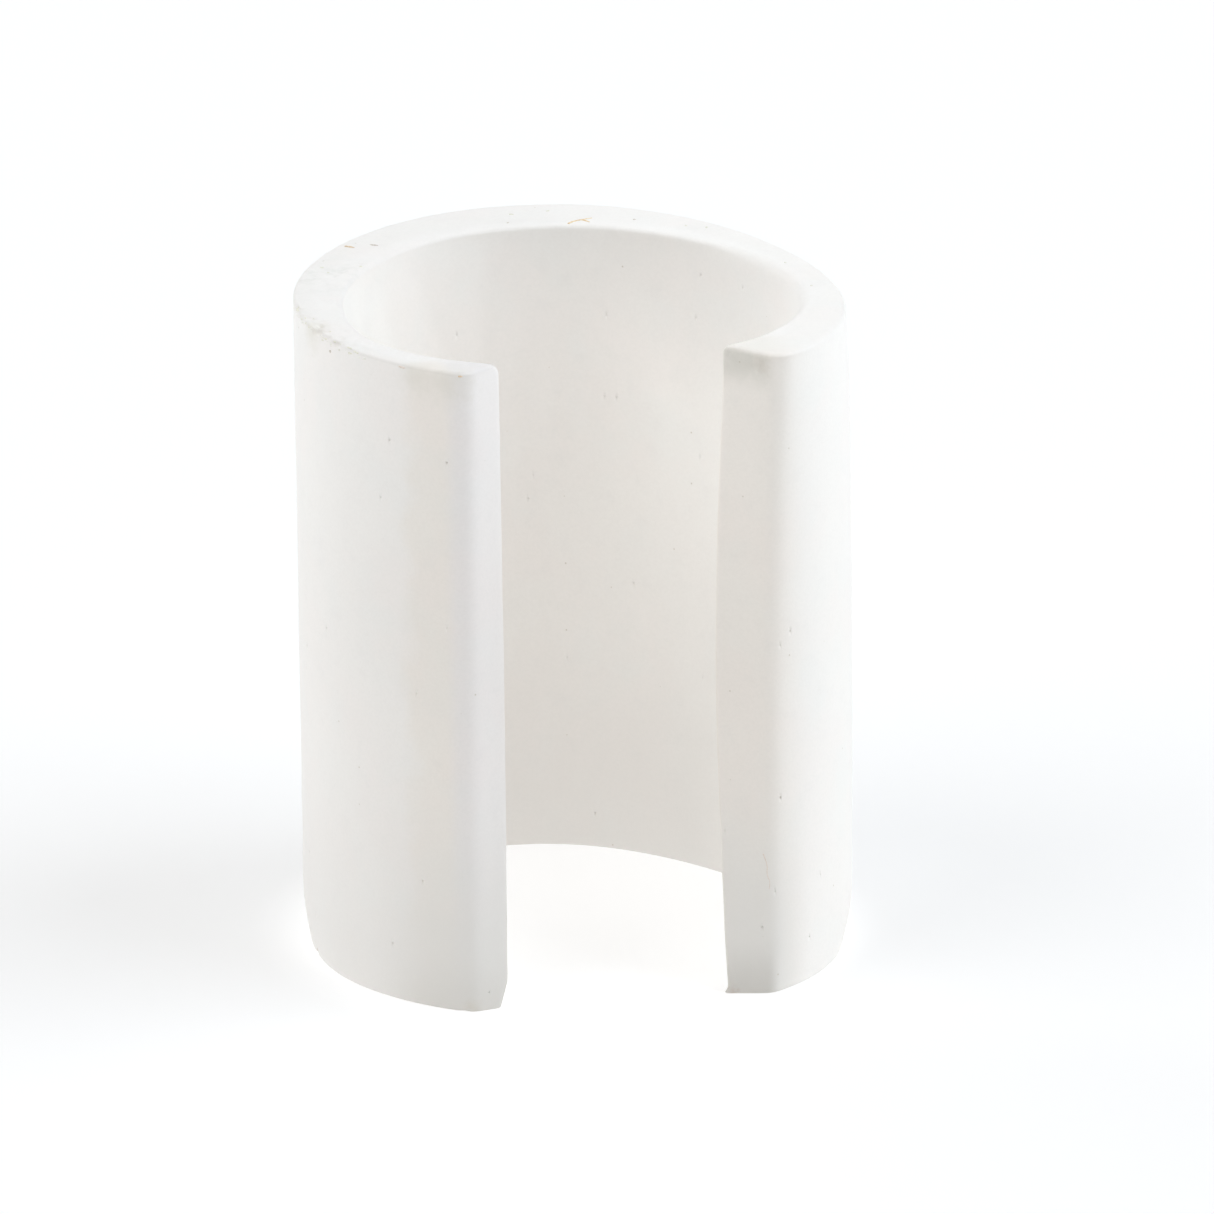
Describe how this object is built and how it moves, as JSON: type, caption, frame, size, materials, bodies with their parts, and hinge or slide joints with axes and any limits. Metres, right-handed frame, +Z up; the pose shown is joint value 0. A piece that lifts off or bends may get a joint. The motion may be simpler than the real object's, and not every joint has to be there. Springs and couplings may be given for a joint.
{
  "type": "plaster forming mold",
  "caption": "Open plaster mold for hand building: an upright C-shaped wall with a slot down its front, open at top and bottom.",
  "frame": {"origin": "centre of the flat base the mold stands on", "axes": "+Z up along the hollow, -Y out through the slot"},
  "size_m": [0.1002, 0.0986, 0.122],
  "materials": {
    "plaster": "matte"
  },
  "bodies": {
    "root": {"plaster_shell": "plaster"}
  },
  "joints": []
}
